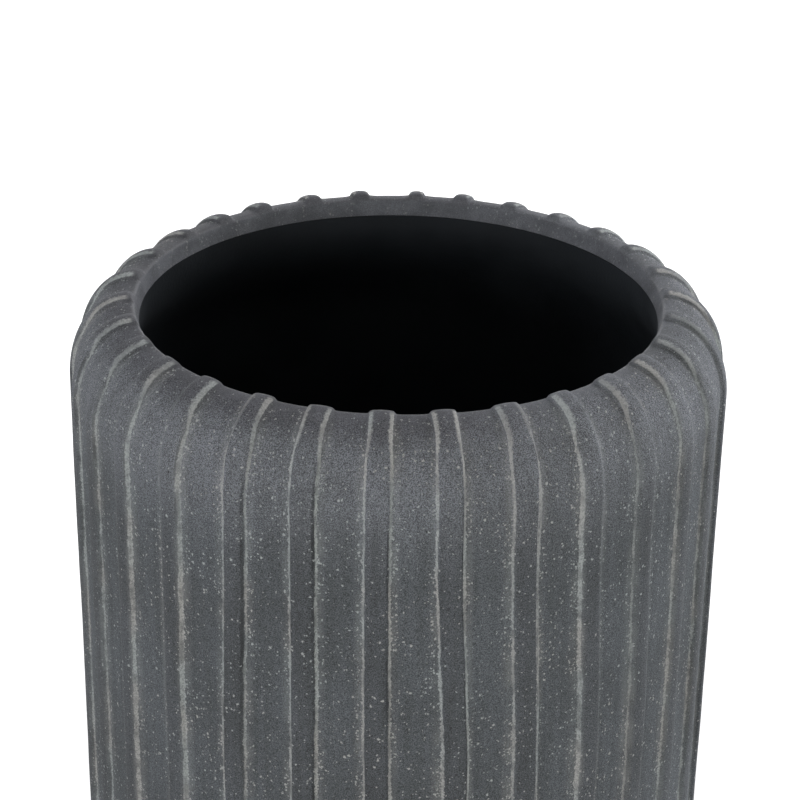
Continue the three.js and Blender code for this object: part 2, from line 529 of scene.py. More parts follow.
def band(tree, value, low, high, soft_low, soft_high):
    """A mask that is 1 between two limits, with soft edges just outside them."""
    above = window(tree, maths(tree, "SUBTRACT", low, value), 0.0, soft_low, 1.0, 0.0)
    below = window(tree, maths(tree, "SUBTRACT", value, high), 0.0, soft_high, 1.0, 0.0)
    return product(tree, above, below)


def mixed_value(tree, factor, first, second):
    """Blend two numbers by a mask."""
    return add_node(tree, "ShaderNodeMix", {0: factor, 2: first, 3: second}, data_type="FLOAT").outputs[0]


arithmetic = bpy.types.ShaderNodeMath.bl_rna.properties["operation"].enum_items
print("kinds of arithmetic step:", len(arithmetic))

# %% Noise
def noise_value(tree, vector, scale, detail, roughness):
    """Soft cloudy noise between about 0.3 and 0.7, in repeats per metre."""
    sockets = {"Vector": vector, "Scale": scale, "Detail": detail, "Roughness": roughness}
    return add_node(tree, "ShaderNodeTexNoise", sockets).outputs["Fac"]


NOISE_MIDDLE = 0.5


def swing(tree, vector, kind):
    """Noise that swings either way about 0. Its kind is its scale, detail and roughness."""
    return maths(tree, "SUBTRACT", noise_value(tree, vector, *kind), NOISE_MIDDLE)


def patchy(tree, vector, kind, limits, levels=(0.0, 1.0)):
    """Patches of noise: what lies between two limits is spread over two levels."""
    return window(tree, noise_value(tree, vector, *kind), *limits, *levels)


print("the middle of the noise:", NOISE_MIDDLE)

# %% Colours
WHITE = (1.0, 1.0, 1.0, 1.0)


def grey(value, warmth=0.0):
    """A grey colour, warmer above 0 and bluer below."""
    return (value * (1 + warmth), value, value * (1 - warmth), 1.0)


def blended(tree, factor, first, second, mode="MIX"):
    """Blend two colours by a mask. Sockets go by number here, because several share one name."""
    node = add_node(tree, "ShaderNodeMix", data_type="RGBA", blend_type=mode)
    for index, value in ((0, factor), (6, first), (7, second)):
        fill(tree, node.inputs[index], value)
    return node.outputs[2]


def darkened(tree, colour, mask, least):
    """A colour multiplied down to a share of itself where a mask is 1."""
    return blended(tree, 1.0, colour, between(tree, mask, 1.0, least), "MULTIPLY")


print("a warm mid grey:", grey(0.2, 0.05))

# %% [markdown]
# ## Grain and specks shared by several finishes
#
# Cast clay, sealing coat and moulded rubber all show grain of their own size, and clay and rubber carry
# specks: pits, grit or dust. Both are node groups, so they are drawn once and sized in each material. Grain
# is sharpened noise. Specks are dots at scattered points, of which only a share is kept, with sizes that
# differ and outlines torn by a little noise.

# %% Grain group
GRAIN_DETAIL = 2.0
GRAIN_ROUGHNESS = 0.7
GRAIN_LIMITS = (0.32, 0.68)


def new_group(name, inputs, outputs):
    """An empty node group with named sockets, and its two ends."""
    group = bpy.data.node_groups.new(name, "ShaderNodeTree")
    for socket, kind in inputs.items():
        group.interface.new_socket(socket, in_out="INPUT", socket_type=kind)
    for socket in outputs:
        group.interface.new_socket(socket, in_out="OUTPUT", socket_type="NodeSocketFloat")
    return group, group.nodes.new("NodeGroupInput").outputs, group.nodes.new("NodeGroupOutput").inputs


def make_grain_group():
    """Fine grain between 0 and 1, sized in repeats per metre."""
    inputs = {"Vector": "NodeSocketVector", "Scale": "NodeSocketFloat"}
    group, given, result = new_group("fine_grain", inputs, ["Grain"])
    kind = (given["Scale"], GRAIN_DETAIL, GRAIN_ROUGHNESS)
    group.links.new(patchy(group, given["Vector"], kind, GRAIN_LIMITS), result["Grain"])
    return group


grain_group = make_grain_group()
print("grain group sockets:", [item.name for item in grain_group.interface.items_tree])

# %% Speck group
SPECK_TEAR = 0.9
TEAR_SCALE = 2.2
TEAR_DETAIL = 1.0
SPECK_REACH = (0.16, 0.46)  # radius of the smallest and the largest speck, where 1 is from point to point
SPECK_CORE = 0.6  # share of the radius that is solid


def moved(tree, operation, vector, by):
    """One step on a vector: add or subtract another, or scale it by a number."""
    by_socket = "Scale" if operation == "SCALE" else 1
    node = add_node(tree, "ShaderNodeVectorMath", {0: vector, by_socket: by}, operation=operation)
    return node.outputs[0]


def make_speck_group():
    """A mask of scattered torn specks, of which a share between 0 and 1 is kept."""
    inputs = {"Vector": "NodeSocketVector", "Scale": "NodeSocketFloat", "Share": "NodeSocketFloat"}
    group, given, result = new_group("scattered_specks", inputs, ["Specks"])
    sized = moved(group, "SCALE", given["Vector"], given["Scale"])
    tear_sockets = {"Vector": sized, "Scale": TEAR_SCALE, "Detail": TEAR_DETAIL}
    tear = add_node(group, "ShaderNodeTexNoise", tear_sockets).outputs["Color"]
    either_way = moved(group, "SUBTRACT", tear, (NOISE_MIDDLE, NOISE_MIDDLE, NOISE_MIDDLE))
    torn = moved(group, "ADD", sized, moved(group, "SCALE", either_way, SPECK_TEAR))
    cells = add_node(group, "ShaderNodeTexVoronoi", {"Vector": torn, "Scale": 1.0})
    random_parts = add_node(group, "ShaderNodeSeparateColor", {"Color": cells.outputs["Color"]}).outputs
    reach = between(group, random_parts["Green"], *SPECK_REACH)
    core = maths(group, "MULTIPLY", reach, SPECK_CORE)
    dot = window(group, cells.outputs["Distance"], core, reach, 1.0, 0.0)
    kept = maths(group, "LESS_THAN", random_parts["Red"], given["Share"])
    group.links.new(product(group, dot, kept), result["Specks"])
    return group


speck_group = make_speck_group()
print("speck group sockets:", [item.name for item in speck_group.interface.items_tree])

# %% Grain and specks in a material
def grains(tree, place, scale):
    """The grain group, placed in a material."""
    sockets = {"Vector": place, "Scale": scale}
    return add_node(tree, "ShaderNodeGroup", node_tree=grain_group, sockets=sockets).outputs["Grain"]


def specks(tree, place, scale, share):
    """The speck group, placed in a material."""
    sockets = {"Vector": place, "Scale": scale, "Share": share}
    return add_node(tree, "ShaderNodeGroup", node_tree=speck_group, sockets=sockets).outputs["Specks"]


def add_bump(tree, shader, height, strength, distance):
    """Fine relief that only bends the light on a surface."""
    bump = add_node(tree, "ShaderNodeBump", {"Strength": strength, "Distance": distance, "Height": height})
    tree.links.new(bump.outputs["Normal"], shader.inputs["Normal"])


print("node groups:", [group.name for group in (grain_group, speck_group)])

# %% [markdown]
# ## The finish of the shell
#
# The clay is dark slate grey and matt, with sandy grain, dark pits and pale grit. A line of pale bloom runs
# down both sides of each rib. Near the mouth it runs along the rounded edge, where it is partly a painted
# highlight. On the shoulder it keeps to the lower part of the side. On the wall it starts at the edge of the
# sides that face away from the front, and nearer the foot of those that face it, with a thin halo over the
# edge and crumbs in the flute. Painted shade lies in dark lines under the edge, mostly on right sides, and
# darkens the rim. The lip is smoother and mottled, and the grain fades towards it.
#
# A painted picture could show all that, but it would need a file, and it would blur close up. Noise is mixed
# with the numbers that the mesh stores, so the finish follows each rib wherever it wanders.

# %% What the clay knows about a spot
def attribute(tree, name):
    """A number that is stored on the mesh's points."""
    return add_node(tree, "ShaderNodeAttribute", attribute_name=name).outputs["Fac"]


def read_shell(tree):
    """A spot on the shell: its place, how far right and how high it is, and the numbers stored there."""
    place = add_node(tree, "ShaderNodeTexCoord").outputs["Object"]
    parts = add_node(tree, "ShaderNodeSeparateXYZ", {"Vector": place}).outputs
    stored = {name: attribute(tree, name) for name in ("ribbed", *MARKS)}
    return SimpleNamespace(place=place, across=parts["X"], high=parts["Z"], **stored)


print("numbers stored on the shell:", "ribbed", *MARKS)

# %% [markdown]
# ### The ground colour
#
# Every mask below has its limits in a named pair or four: for a window the two ends and what they become,
# for a band its two limits and how soft each is. A kind of noise is its repeats per metre, its detail and
# its roughness. Heights are in metres. The colours could be one flat grey, but clouds and streaks make it
# look cast.

# %% Ground colour of the clay
SLATE_DARK = (0.0578, 0.063, 0.0655, 1.0)
SLATE_LIGHT = (0.078, 0.085, 0.0903, 1.0)
SLATE_LIMITS = (0.3, 0.7)
CLOUDS = (16.0, 3.0, 0.6)
STREAKS = (240.0, 2.0, 0.6)
STREAK_STRETCH = (1.0, 1.0, 0.07)
STREAK_SHARE = 0.6
LIGHTER_UP_GAIN = (1.82, 1.75, 1.77, 1.0)
LIGHTER_UP_HEIGHTS = (shoulder_z - 35 * MM, shoulder_z + 30 * MM)
RIB_TOP_TINT = (0.84, 0.83, 0.83, 1.0)
ON_RIB_TOP = (-0.1, 0.3, 1.0, 0.0)


def slate(tree, spot):
    """Slate grey in soft clouds and upright streaks."""
    stretched = add_node(tree, "ShaderNodeMapping", {"Vector": spot.place, "Scale": STREAK_STRETCH})
    streaks = swing(tree, stretched.outputs[0], STREAKS)
    mixed = maths(tree, "MULTIPLY_ADD", streaks, STREAK_SHARE, noise_value(tree, spot.place, *CLOUDS))
    return blended(tree, window(tree, mixed, *SLATE_LIMITS), SLATE_DARK, SLATE_LIGHT)


def lightened_slate(tree, spot):
    """The slate grey, lighter from the shoulder up and duller on rib tops below it."""
    lighter_up = window(tree, spot.high, *LIGHTER_UP_HEIGHTS)
    ground = blended(tree, 1.0, slate(tree, spot), blended(tree, lighter_up, WHITE, LIGHTER_UP_GAIN), "MULTIPLY")
    below_lighter = maths(tree, "SUBTRACT", 1.0, lighter_up)
    on_top = product(tree, window(tree, spot.rib_step, *ON_RIB_TOP), spot.ribbed, below_lighter)
    return blended(tree, on_top, ground, RIB_TOP_TINT, "MULTIPLY")


print("clay lightness from", SLATE_DARK[1], "to", SLATE_LIGHT[1])

# %% Rim and lip of the clay
# RIM_SHADE is painted shade: it darkens the up-facing rim, which the low lamps barely reach, and fades out
# to the right.
RIM_SHADE = (0.67, 0.65, 0.66, 1.0)
RIM_HEIGHTS = (crest_z - 9 * MM, crest_z - 0.5 * MM)
RIM_FADE_TO_RIGHT = (20 * MM, 80 * MM, 1.0, 0.2)
LIP_COLOUR = (0.09, 0.094, 0.103, 1.0)
ON_LIP = (0.0, 0.3, 1.0, 0.0)
LIP_BLOTCHES = (60.0, 3.0, 0.7)
BLOTCH_LIMITS = (0.34, 0.66)
BLOTCH_LEVELS = (0.74, 1.14)


def clay_ground(tree, spot):
    """The ground colour: slate, painted shade on the rim that fades to the right, and a mottled lip."""
    near_rim = window(tree, spot.high, *RIM_HEIGHTS)
    near_rim = product(tree, near_rim, window(tree, spot.across, *RIM_FADE_TO_RIGHT))
    ground = blended(tree, near_rim, lightened_slate(tree, spot), RIM_SHADE, "MULTIPLY")
    blotches = patchy(tree, spot.place, LIP_BLOTCHES, BLOTCH_LIMITS, BLOTCH_LEVELS)
    lip_tone = blended(tree, 1.0, LIP_COLOUR, blotches, "MULTIPLY")
    return blended(tree, window(tree, spot.ribbed, *ON_LIP), ground, lip_tone)


print("lip lightness:", LIP_COLOUR[1], "times", BLOTCH_LEVELS)

# %% [markdown]
# ### The bloom
#
# The bloom has a core, which covers a rib's side from a starting line down to the foot, and a thin halo
# above it. The starting line is a number on the scale of rib_step. It depends on where the side faces, on
# how high the spot is and on how much bloom the rib has. Noise makes it swell slowly and tears its edge. A
# plain stripe of one width would be simpler, but it would look printed.

# %% Zones of the bloom
HEAD_ON = (-0.02, 0.22, 0.12, 0.3)
FACING_AWAY = (-0.3, -0.12, 1.0, 0.0)
FACING_FRONT = (0.25, 0.6)
SHOULDER_HEIGHTS = (shoulder_z + 10 * MM, shoulder_z + 25 * MM)
CREST_HEIGHTS = (crest_z - 14 * MM, crest_z - 2 * MM)


def bloom_zones(tree, spot):
    """Masks for where a rib's side faces and how high it is."""
    return SimpleNamespace(
        head_on=band(tree, spot.to_front, *HEAD_ON),
        away=window(tree, spot.to_front, *FACING_AWAY),
        front=window(tree, spot.to_front, *FACING_FRONT),
        on_shoulder=window(tree, spot.high, *SHOULDER_HEIGHTS),
        at_crest=window(tree, spot.high, *CREST_HEIGHTS),
    )


print("the bloom follows the edge above", round(CREST_HEIGHTS[0], 4))

# %% Where the bloom starts
START_BY_PLENTY = (0.72, 0.27)
START_HEAD_ON = 0.5
START_AWAY = -0.12
START_ON_SHOULDER = (0.4, 1.0, 0.35, 0.6)
START_MORE_ON_RIGHT = 0.14
# Near the mouth the bloom spreads over the rounded edge, and there it is partly a painted highlight.
START_AT_CREST = (-0.1, -0.2)
SWELL = (70.0, 2.0, 0.6)
SWELL_REACH = (0.9, 0.3)


def bloom_start(tree, spot, zone):
    """The line on a rib's side from which the core of the bloom covers it."""
    start = mixed_value(tree, zone.head_on, between(tree, spot.plenty, *START_BY_PLENTY), START_HEAD_ON)
    start = mixed_value(tree, zone.away, start, START_AWAY)
    right_front = product(tree, zone.front, spot.rightward)
    on_shoulder = window(tree, zone.front, *START_ON_SHOULDER)
    on_shoulder = maths(tree, "MULTIPLY_ADD", right_front, START_MORE_ON_RIGHT, on_shoulder)
    start = mixed_value(tree, zone.on_shoulder, start, on_shoulder)
    swell = swing(tree, spot.place, SWELL)
    start = maths(tree, "MULTIPLY_ADD", swell, between(tree, zone.away, *SWELL_REACH), start)
    return mixed_value(tree, zone.at_crest, start, between(tree, zone.front, *START_AT_CREST))


print("the bloom starts between", START_AWAY, "and", START_BY_PLENTY[0], "on the wall")

# %% Core and halo of the bloom
BLOOM_TEAR = (620.0, 2.0, 0.7)
TEAR_ON_WALL = (0.6, 0.2)
TEAR_AT_CREST = 1.3
SOFT_FRONT = 0.15
SOFT_AWAY = 0.08
SOFT_CREST_TOP = (0.25, 0.5)
HALO_STEPS = (-0.3, 0.8, 0.0, 0.5)
HALO_BY_PLENTY = (0.35, 1.0)
HALO_ON_SHOULDER = (1.0, 0.3)
END_ON_WALL = 1.0
END_AT_CREST = 0.3
SOFT_END_ON_WALL = 0.04
SOFT_END_AT_CREST = 0.25
END_TEAR = (0.9, 1.1, 0.5, 0.25)


def bloom_upper(tree, spot, zone, torn):
    """The bloom's upper limit: a soft core below its starting line, and a halo over the edge."""
    soft = mixed_value(tree, zone.away, SOFT_FRONT, SOFT_AWAY)
    soft = mixed_value(tree, zone.at_crest, soft, between(tree, zone.front, *SOFT_CREST_TOP))
    front_crest = product(tree, zone.at_crest, zone.front)
    tear = mixed_value(tree, front_crest, between(tree, zone.away, *TEAR_ON_WALL), TEAR_AT_CREST)
    ragged = maths(tree, "MULTIPLY_ADD", torn, tear, spot.rib_step)
    short_of_start = maths(tree, "SUBTRACT", bloom_start(tree, spot, zone), ragged)
    core = window(tree, short_of_start, 0.0, soft, 1.0, 0.0)
    halo = product(tree, window(tree, ragged, *HALO_STEPS), zone.front)
    halo = product(tree, halo, between(tree, spot.plenty, *HALO_BY_PLENTY))
    halo = product(tree, halo, between(tree, zone.on_shoulder, *HALO_ON_SHOULDER))
    return maths(tree, "MAXIMUM", core, halo)


def bloom_lower(tree, spot, zone, torn):
    """The bloom's lower limit: the foot of the side, or just past the edge near the mouth."""
    end = mixed_value(tree, zone.at_crest, END_ON_WALL, END_AT_CREST)
    soft = mixed_value(tree, zone.at_crest, SOFT_END_ON_WALL, SOFT_END_AT_CREST)
    ragged = maths(tree, "MULTIPLY_ADD", torn, window(tree, spot.rib_step, *END_TEAR), spot.rib_step)
    return window(tree, maths(tree, "SUBTRACT", ragged, end), 0.0, soft, 1.0, 0.0)


print("the bloom ends at", END_ON_WALL, "on the wall and", END_AT_CREST, "near the mouth")

# %% Amount of bloom
BLOOM_COOL = (0.358, 0.38, 0.366, 1.0)
BLOOM_WARM = (0.38, 0.377, 0.354, 1.0)
BLOOM_PATCHES = (110.0, 2.0, 0.6)
PATCH_LIMITS = (0.36, 0.54)
PATCH_LEVELS = (0.45, 1.0)
BLOOM_GRIT = (1250.0, 2.0, 0.7)
BLOOM_GRIT_LIMITS = (0.36, 0.58)
BLOOM_GRIT_LEVELS = (0.4, 1.0)
AMOUNT_BY_PLENTY = (0.0, 0.4, 0.65, 1.0)
NEARLY_BARE = (-0.3, 0.0, 0.1, 1.0)
FULL_AT_CREST = 0.3
FADE_ON_WALL = (-0.58, -0.43, 0.12, 1.0)
FADE_AT_CREST = (-0.6, -0.2)
BLOOM_OFF_LIP = (0.0, 0.15)


def bloom_amount(tree, spot, zone):
    """How thick the bloom lies: patchy and gritty, by the rib, and less on sides that face far away."""
    patches = patchy(tree, spot.place, BLOOM_PATCHES, PATCH_LIMITS, PATCH_LEVELS)
    grit = patchy(tree, spot.place, BLOOM_GRIT, BLOOM_GRIT_LIMITS, BLOOM_GRIT_LEVELS)
    by_rib = window(tree, spot.plenty, *AMOUNT_BY_PLENTY)
    amount = product(tree, by_rib, patches, grit, window(tree, spot.plenty, *NEARLY_BARE))
    amount = mixed_value(tree, maths(tree, "MULTIPLY", zone.at_crest, FULL_AT_CREST), amount, 1.0)
    on_wall = window(tree, spot.to_front, *FADE_ON_WALL)
    fade = mixed_value(tree, zone.at_crest, on_wall, window(tree, spot.to_front, *FADE_AT_CREST))
    return product(tree, amount, fade, window(tree, spot.sandy, *BLOOM_OFF_LIP))


def bloom_mask(tree, spot):
    """Where the pale bloom lies, from 0 to 1."""
    zone = bloom_zones(tree, spot)
    torn = swing(tree, spot.place, BLOOM_TEAR)
    limits = product(tree, bloom_upper(tree, spot, zone, torn), bloom_lower(tree, spot, zone, torn))
    return product(tree, limits, bloom_amount(tree, spot, zone))


print("bloom colours:", BLOOM_COOL[:3], BLOOM_WARM[:3])

# %% [markdown]
# ### Dust, painted shade and crumbs
#
# Thin dust fades from the foot of a rib into the flute. Some parts of a rib's side carry painted shade,
# darker than the clay around them, where the lamps leave them in shadow. Crumbs have fallen into the flutes
# in clusters, and finer grit lies all over. Crumbs could be thousands of small meshes, but at about a
# millimetre across, specks of colour with a bump look the same.

# %% Dust on the clay
DUST_INTO_FLUTE = (1.0, 1.5, 1.0, 0.0)
DUST_FACING = (0.35, 0.7)
DUST_NEAR_FOOT = (0.4, 0.8)
DUST_OVER_EDGE = (-0.6, 0.3)
DUST_PATCHES = (60.0, 2.0, 0.6)
DUST_LIMITS = (0.38, 0.62)
DUST_LEVELS = (0.3, 1.0)


def dust_mask(tree, spot):
    """Dust from a rib's foot into the flute, and over its edge where the side faces the front."""
    into_flute = window(tree, spot.rib_step, *DUST_INTO_FLUTE)
    near_foot = window(tree, spot.rib_step, *DUST_NEAR_FOOT)
    over_edge = window(tree, spot.rib_step, *DUST_OVER_EDGE)
    on_side = mixed_value(tree, window(tree, spot.to_front, *DUST_FACING), near_foot, over_edge)
    patches = patchy(tree, spot.place, DUST_PATCHES, DUST_LIMITS, DUST_LEVELS)
    return product(tree, into_flute, on_side, patches, spot.sandy)


print("dust reaches from", DUST_OVER_EDGE[0], "to", DUST_INTO_FLUTE[1], "on the scale of rib_step")

# %% Shade on the clay
# All of this mask is painted shade: darker lines on the sides that the lamps leave in shadow, mostly right
# sides.
SHADE_TEAR = (120.0, 2.0, 0.6)
SHADE_TEAR_REACH = 0.4
SHADE_PATCHES = (45.0, 2.0, 0.6)
SHADE_LIMITS = (0.4, 0.6)
SHADE_LEVELS = (0.4, 1.0)
UNDER_EDGE = (-0.02, 0.4, 0.12, 0.15)
UNDER_EDGE_HEIGHTS = (shoulder_z + 8 * MM, shoulder_z + 24 * MM, 1.0, 0.0)
UNDER_EDGE_FACING = (-0.25, 0.45, 0.15, 0.2)
UNDER_EDGE_BY_SIDE = (0.2, 0.85)
NEAR_FOOT = (0.5, 1.0, 0.25, 0.2)
NEAR_FOOT_HEIGHTS = (shoulder_z + 12 * MM, crest_z - 8 * MM, 0.0, 0.4)
ABOVE_FOOT = (0.0, 0.5, 0.15, 0.15)
ABOVE_FOOT_HEIGHTS = (shoulder_z - 5 * MM, shoulder_z + 18 * MM, 20 * MM, 12 * MM)
ABOVE_FOOT_FACING = (0.4, 0.65)


def shade_mask(tree, spot):
    """Painted shade on parts of a side: under its edge on the wall, near its foot, and above it on the
    shoulder.
    """
    torn = swing(tree, spot.place, SHADE_TEAR)
    uneven = maths(tree, "MULTIPLY_ADD", torn, SHADE_TEAR_REACH, spot.rib_step)
    patches = patchy(tree, spot.place, SHADE_PATCHES, SHADE_LIMITS, SHADE_LEVELS)

    on_wall = window(tree, spot.high, *UNDER_EDGE_HEIGHTS)
    facing_here = band(tree, spot.to_front, *UNDER_EDGE_FACING)
    by_side = between(tree, spot.rightward, *UNDER_EDGE_BY_SIDE)
    under_edge = product(tree, band(tree, uneven, *UNDER_EDGE), on_wall, facing_here, patches, by_side)

    near_mouth = window(tree, spot.high, *NEAR_FOOT_HEIGHTS)
    near_foot = product(tree, band(tree, uneven, *NEAR_FOOT), near_mouth)

    right_front = product(tree, window(tree, spot.to_front, *ABOVE_FOOT_FACING), spot.rightward)
    low_shoulder = band(tree, spot.high, *ABOVE_FOOT_HEIGHTS)
    above_foot = product(tree, band(tree, uneven, *ABOVE_FOOT), right_front, low_shoulder, patches)
    return maths(tree, "MAXIMUM", maths(tree, "MAXIMUM", under_edge, near_foot), above_foot)


print("shade under the edge ends at", round(UNDER_EDGE_HEIGHTS[1], 4))

# %% Crumbs and grit on the clay
CRUMB_SCALE = 620.0
GRIT_SCALE = 900.0
CLUSTERS = (75.0, 2.0, 0.6)
CLUSTER_LIMITS = (0.4, 0.58)
CLUSTER_LEVELS = (0.08, 1.0)
FROM_FOOT_OUT = (1.0, 1.5, 1.0, 0.2)
PAST_FOOT = (0.95, 1.0)
CRUMB_SHARES = (0.1, 0.9)
GRIT_PER_CRUMB = 0.5
GRIT_LEAST = 0.1
GRIT_STRENGTH = 0.9
LOOSE_BY_SAND = (0.0, 0.5, 0.3, 0.9)


def loose_mask(tree, spot):
    """Pale crumbs in the flutes, most of them beside a rib's foot, and finer grit all over."""
    clusters = patchy(tree, spot.place, CLUSTERS, CLUSTER_LIMITS, CLUSTER_LEVELS)
    from_foot = window(tree, spot.rib_step, *FROM_FOOT_OUT)
    in_flute = product(tree, from_foot, window(tree, spot.rib_step, *PAST_FOOT))
    share = product(tree, clusters, between(tree, in_flute, *CRUMB_SHARES))
    crumbs = specks(tree, spot.place, CRUMB_SCALE, share)
    grit_share = maths(tree, "MULTIPLY_ADD", share, GRIT_PER_CRUMB, GRIT_LEAST)
    grit = product(tree, specks(tree, spot.place, GRIT_SCALE, grit_share), GRIT_STRENGTH)
    return product(tree, maths(tree, "MAXIMUM", crumbs, grit), window(tree, spot.sandy, *LOOSE_BY_SAND))


print("where they lie closest, crumbs are about", round(1 / CRUMB_SCALE / MM, 1), "mm apart")

# %% [markdown]
# ### The clay put together
#
# Ground, painted shade, grain and pits come first, then dust, bloom and crumbs in the same pale colour.
# Grain, pits, crumbs and bloom also feed a bump of a fifth of a millimetre, because grains that small would
# need far too many faces.

# %% Shell material
GRAIN_SCALE = 2100.0
GRAIN_CONTRAST = (0.45, 1.68)
LIP_GRAIN = 0.35
PIT_SCALE = 900.0
PIT_SHARE = 0.2
# SHADE is how dark the painted shade gets.
SHADE = 0.45
PIT = 0.45
THIN_DUST = 0.2
HUE = (24.0, 1.0, 0.5)
HUE_LIMITS = (0.42, 0.6)
CLAY_ROUGHNESS = (0.6, 0.88)
CLAY_SPECULAR = 0.3
PIT_DEPTH = 1.2
CRUMB_RELIEF = 1.4
BLOOM_RELIEF = 0.5
CLAY_BUMP = 0.8
CLAY_BUMP_DISTANCE = 0.2 * MM


def clay_relief(tree, grain, pits, loose, bloom):
    """Height of the fine relief: grain and crumbs stand up, bloom a little, and pits go in."""
    relief = maths(tree, "SUBTRACT", grain, maths(tree, "MULTIPLY", pits, PIT_DEPTH))
    relief = maths(tree, "MULTIPLY_ADD", loose, CRUMB_RELIEF, relief)
    return maths(tree, "MULTIPLY_ADD", bloom, BLOOM_RELIEF, relief)


def make_clay():
    """Matt dark clay with sandy grain, pale rib sides and crumbs."""
    material, tree, shader = new_material("dark_cast_clay")
    spot = read_shell(tree)
    coarse = between(tree, spot.sandy, LIP_GRAIN, 1.0)
    grain = grains(tree, spot.place, GRAIN_SCALE)
    pits = product(tree, specks(tree, spot.place, PIT_SCALE, PIT_SHARE), coarse)
    shade = product(tree, shade_mask(tree, spot), spot.sandy)
    bloom = bloom_mask(tree, spot)
    loose = loose_mask(tree, spot)

    colour = darkened(tree, clay_ground(tree, spot), shade, SHADE)
    colour = blended(tree, coarse, colour, between(tree, grain, *GRAIN_CONTRAST), "MULTIPLY")
    colour = darkened(tree, colour, pits, PIT)
    pale = blended(tree, patchy(tree, spot.place, HUE, HUE_LIMITS), BLOOM_COOL, BLOOM_WARM)
    for cover in (product(tree, dust_mask(tree, spot), THIN_DUST), bloom, loose):
        colour = blended(tree, cover, colour, pale)
    tree.links.new(colour, shader.inputs["Base Color"])
    tree.links.new(between(tree, spot.ribbed, *CLAY_ROUGHNESS), shader.inputs["Roughness"])
    shader.inputs["Specular IOR Level"].default_value = CLAY_SPECULAR

    relief = product(tree, clay_relief(tree, grain, pits, loose, bloom), coarse)
    add_bump(tree, shader, relief, CLAY_BUMP, CLAY_BUMP_DISTANCE)
    return material


clay = make_clay()
print("clay nodes:", len(clay.node_tree.nodes))

# %% [markdown]
# ## Handing a piece over
#
# A finished bmesh becomes an object. It is shaded smooth, apart from edges that turn by more than an angle,
# because flat shading would show every facet. It then rides on its body, and stands in for the solids of the
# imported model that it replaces.

# %% Finish the shell
SHELL_CREASE = 50


def finished(name, bm, body, nodes, material, crease_degrees):
    """Turn a bmesh into a shaded object that rides on a body and stands for its CAD nodes."""
    mesh = bpy.data.meshes.new(name)
    bm.to_mesh(mesh)
    bm.free()
    mesh.shade_smooth()
    mesh.set_sharp_from_angle(angle=math.radians(crease_degrees))
    mesh.materials.append(material)
    piece = bpy.data.objects.new(name, mesh)
    bpy.context.scene.collection.objects.link(piece)
    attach(piece, body)
    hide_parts(*nodes)
    triangles = sum(len(face.vertices) - 2 for face in mesh.polygons)
    print(f"{name}: {len(mesh.vertices)} vertices, {triangles} triangles")


finished("ribbed_shell", shell_mesh, "vase", ["ribbed_body"], clay, SHELL_CREASE)

# %% [markdown]
# ## The sealing coat
#
# A black bitumen-like coat keeps water off the clay inside. It is brushed on, so it is nearly black, dull
# and slightly uneven. It could be a second material on the shell's inside, but the real coat is a layer of
# its own. So it is a thin turned shell that follows the hollow at a small gap.

# %% Coat material
COAT_DARK = grey(0.0135, -0.15)
COAT_LIGHT = grey(0.017, -0.15)
COAT_GRAIN_SCALE = 700.0
COAT_STREAKS = (26.0, 3.0, 0.6)
COAT_COLOUR_LIMITS = (0.35, 0.65)
COAT_ROUGHNESS = (0.3, 0.7, 0.55, 0.7)
COAT_SPECULAR = 0.15
COAT_BUMP = 0.3
COAT_BUMP_DISTANCE = 0.15 * MM


def make_coat():
    """Black brushed coat with a weak sheen."""
    material, tree, shader = new_material("black_sealing_coat")
    place = add_node(tree, "ShaderNodeTexCoord").outputs["Object"]
    streaks = noise_value(tree, place, *COAT_STREAKS)
    colour = blended(tree, window(tree, streaks, *COAT_COLOUR_LIMITS), COAT_DARK, COAT_LIGHT)
    tree.links.new(colour, shader.inputs["Base Color"])
    tree.links.new(window(tree, streaks, *COAT_ROUGHNESS), shader.inputs["Roughness"])
    shader.inputs["Specular IOR Level"].default_value = COAT_SPECULAR
    add_bump(tree, shader, grains(tree, place, COAT_GRAIN_SCALE), COAT_BUMP, COAT_BUMP_DISTANCE)
    return material


coat_black = make_coat()
print("coat nodes:", len(coat_black.node_tree.nodes))

# %% Sealing coat
COAT_ROWS = 8
COAT_COLUMNS = 160
COAT_CREASE = 35

coat_top = lip_z - LINING_GAP
coat_back = hollow_outline(LINING_GAP, coat_top, COAT_ROWS)
coat_face = hollow_outline(LINING_GAP + LINING_THICKNESS, coat_top, COAT_ROWS)
coat_mesh = turned(coat_back[::-1] + coat_face, COAT_COLUMNS, closed=True)
finished("sealing_coat", coat_mesh, "vase", ["inner_lining"], coat_black, COAT_CREASE)

# %% [markdown]
# ## Rubber plug and pads
#
# The plug is a turned rubber bung with a flange and a waisted grip. The pads are flat discs with rings
# moulded into their undersides. Both could keep the sharp edges of the solids, but moulded rubber has none,
# so every edge is rounded with the bevel operator.

# %% Rubber finish
PLUG_GREY = 0.016
PAD_GREY = 0.03
PLUG_GRAIN_SCALE = 2200.0
PAD_GRAIN_SCALE = 1800.0
RUBBER_SPECK_SHARE = 0.05
RUBBER_FILM = (90.0, 3.0, 0.6)
FILM_LIMITS = (0.45, 0.75)
DUSTY_GAIN = 1.8
RUBBER_ROUGHNESS = (0.7, 0.9)
RUBBER_SPECULAR = 0.4
RUBBER_BUMP = 0.4
RUBBER_BUMP_DISTANCE = 0.1 * MM


